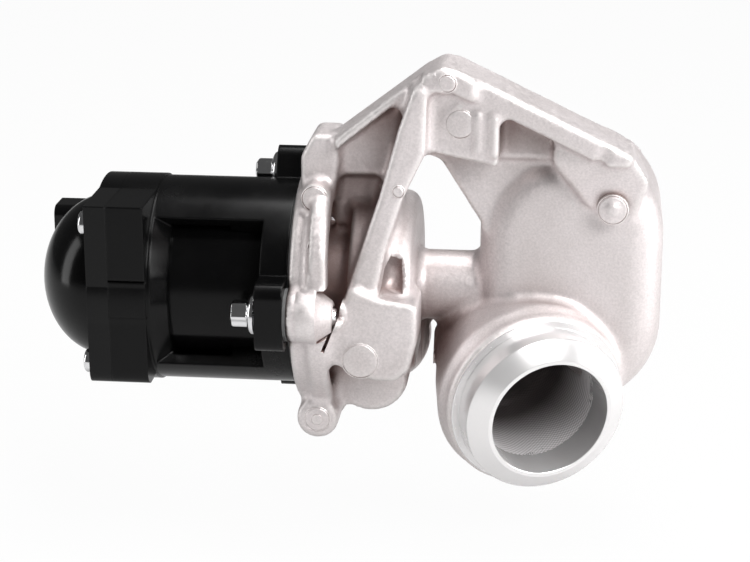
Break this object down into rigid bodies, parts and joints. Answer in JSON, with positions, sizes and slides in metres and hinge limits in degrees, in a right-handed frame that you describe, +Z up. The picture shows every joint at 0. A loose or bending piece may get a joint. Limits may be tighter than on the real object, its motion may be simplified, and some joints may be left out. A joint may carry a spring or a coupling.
{
  "type": "exhaust gas recirculation valve",
  "caption": "Motor-driven EGR valve: black motor unit bolted to a cast housing with a flanged exhaust inlet, a round mixing drum, a slanting hose spigot and a ribbed bracket.",
  "frame": {"origin": "centre of the manifold outlet, in the plane of the machined rear face", "axes": "+X along the valve stem from the motor toward the mixing drum, +Y out of the rear face, +Z up"},
  "size_m": [0.1885, 0.0832, 0.125],
  "materials": {
    "cast_aluminium": "as cast, sand-blasted grain",
    "stainless": "turned",
    "turned_aluminium": "turned",
    "bronze": "sintered",
    "seal_rubber": "smooth",
    "zinc_steel": "zinc plated",
    "spring_steel": "oiled wire",
    "magnet": "sintered ferrite",
    "core_steel": "stamped laminations",
    "enamelled_copper": "enamelled wire",
    "copper": "turned",
    "painted_can": "glossy black paint",
    "grey_plastic": "glass-filled",
    "carbon": "pressed carbon",
    "black_plastic": "satin black, glass-filled",
    "gloss_black_plastic": "glossy black",
    "tinned_brass": "tinned",
    "chrome_screws": "bright zinc",
    "gasket": "coated fibre",
    "circuit_board": "solder mask"
  },
  "bodies": {
    "housing": {"valve_housing": "cast_aluminium", "seat_ring": "stainless", "guide_carrier": "turned_aluminium", "stem_bush": "bronze", "stem_seal": "seal_rubber", "deposit_shield": "stainless", "return_spring": "spring_steel", "yoke_can": "painted_can", "magnets": "magnet", "front_bearing_plate": "zinc_steel", "front_bush": "bronze", "rear_bearing_plate": "grey_plastic", "rear_bush": "bronze", "brush_holder": "grey_plastic", "brushes": "carbon", "brush_springs": "spring_steel", "motor_housing": "black_plastic", "end_cover": "gloss_black_plastic", "connector_pins": "tinned_brass", "cover_seal": "seal_rubber", "cover_screws": "chrome_screws", "lug_sleeves": "zinc_steel", "actuator_bolts": "chrome_screws", "actuator_gasket": "gasket", "sensor_board": "circuit_board", "hall_sensor": "grey_plastic", "manifold_o_ring": "seal_rubber"},
    "rotor": {"rotor_shaft": "zinc_steel", "rotor_core": "core_steel", "rotor_windings": "enamelled_copper", "commutator": "copper", "rotor_nut": "bronze"},
    "valve": {"lead_screw": "stainless", "valve_stem": "stainless", "valve_disc": "stainless", "spring_retainer": "zinc_steel", "retainer_collets": "zinc_steel", "sensor_magnet": "magnet", "magnet_holder": "gloss_black_plastic"}
  },
  "joints": [
    {"name": "rotor_spin", "type": "hinge", "parent": "housing", "child": "rotor", "pos_m": [-0.0795, -0.024, -0.006], "axis": [1, 0, 0], "range_deg": [0, 450]},
    {"name": "valve_lift", "type": "slide", "parent": "housing", "child": "valve", "axis": [-1, 0, 0], "range_m": [0, 0.005], "deforming": ["return_spring"]}
  ],
  "couplings": [
    {"joint": "valve_lift", "follows": "rotor_spin", "m_per_rad": 0.00063662}
  ]
}
